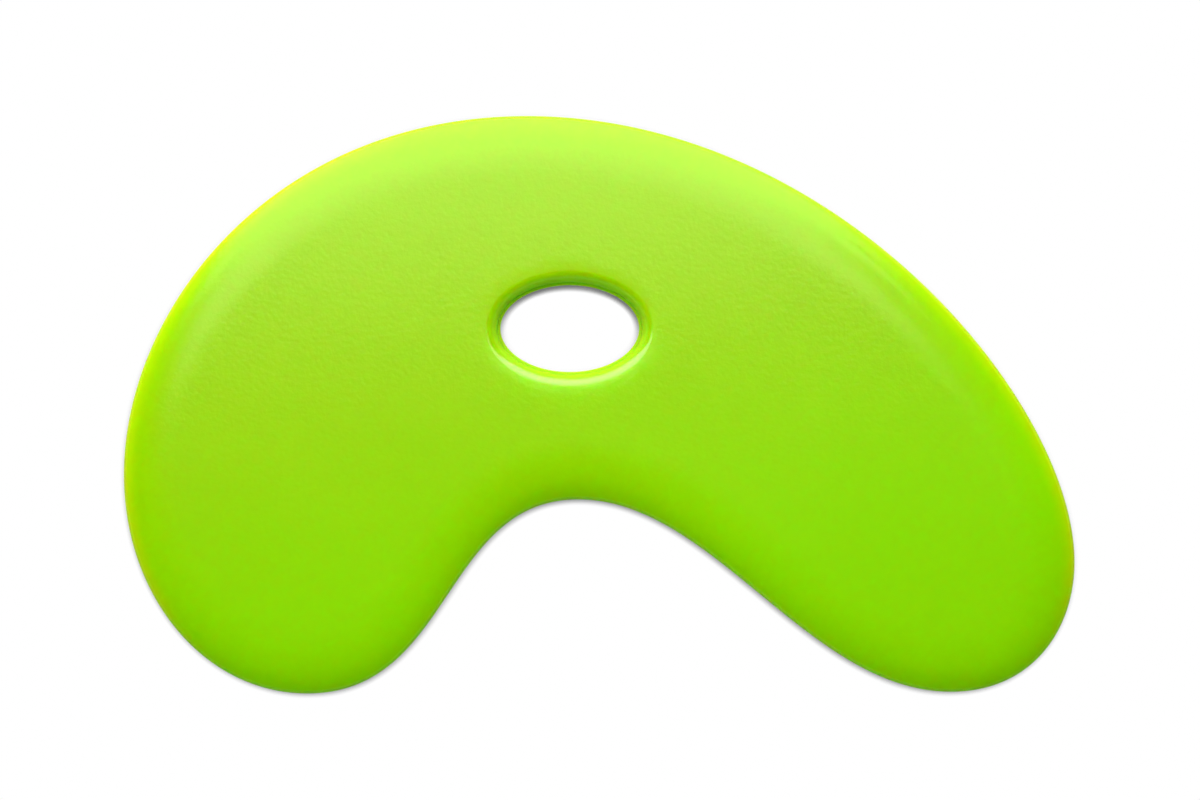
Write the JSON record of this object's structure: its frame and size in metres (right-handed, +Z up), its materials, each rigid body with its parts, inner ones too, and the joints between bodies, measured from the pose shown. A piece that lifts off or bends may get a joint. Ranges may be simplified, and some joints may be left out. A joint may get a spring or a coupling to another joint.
{
  "type": "pottery rib",
  "caption": "Flat kidney-shaped pottery rib of soft lime green polyurethane, with a tapered rounded edge all round and an oval finger hole, for shaping and smoothing clay.",
  "frame": {"origin": "on the face that the rib lies on, below the middle of the outline's box", "axes": "+X along the length towards the narrower foot, +Y from the two feet to the convex back, +Z up through the thickness"},
  "size_m": [0.1206, 0.0732, 0.005],
  "materials": {
    "polyurethane": "satin"
  },
  "bodies": {
    "root": {"rib": "polyurethane"}
  },
  "joints": []
}
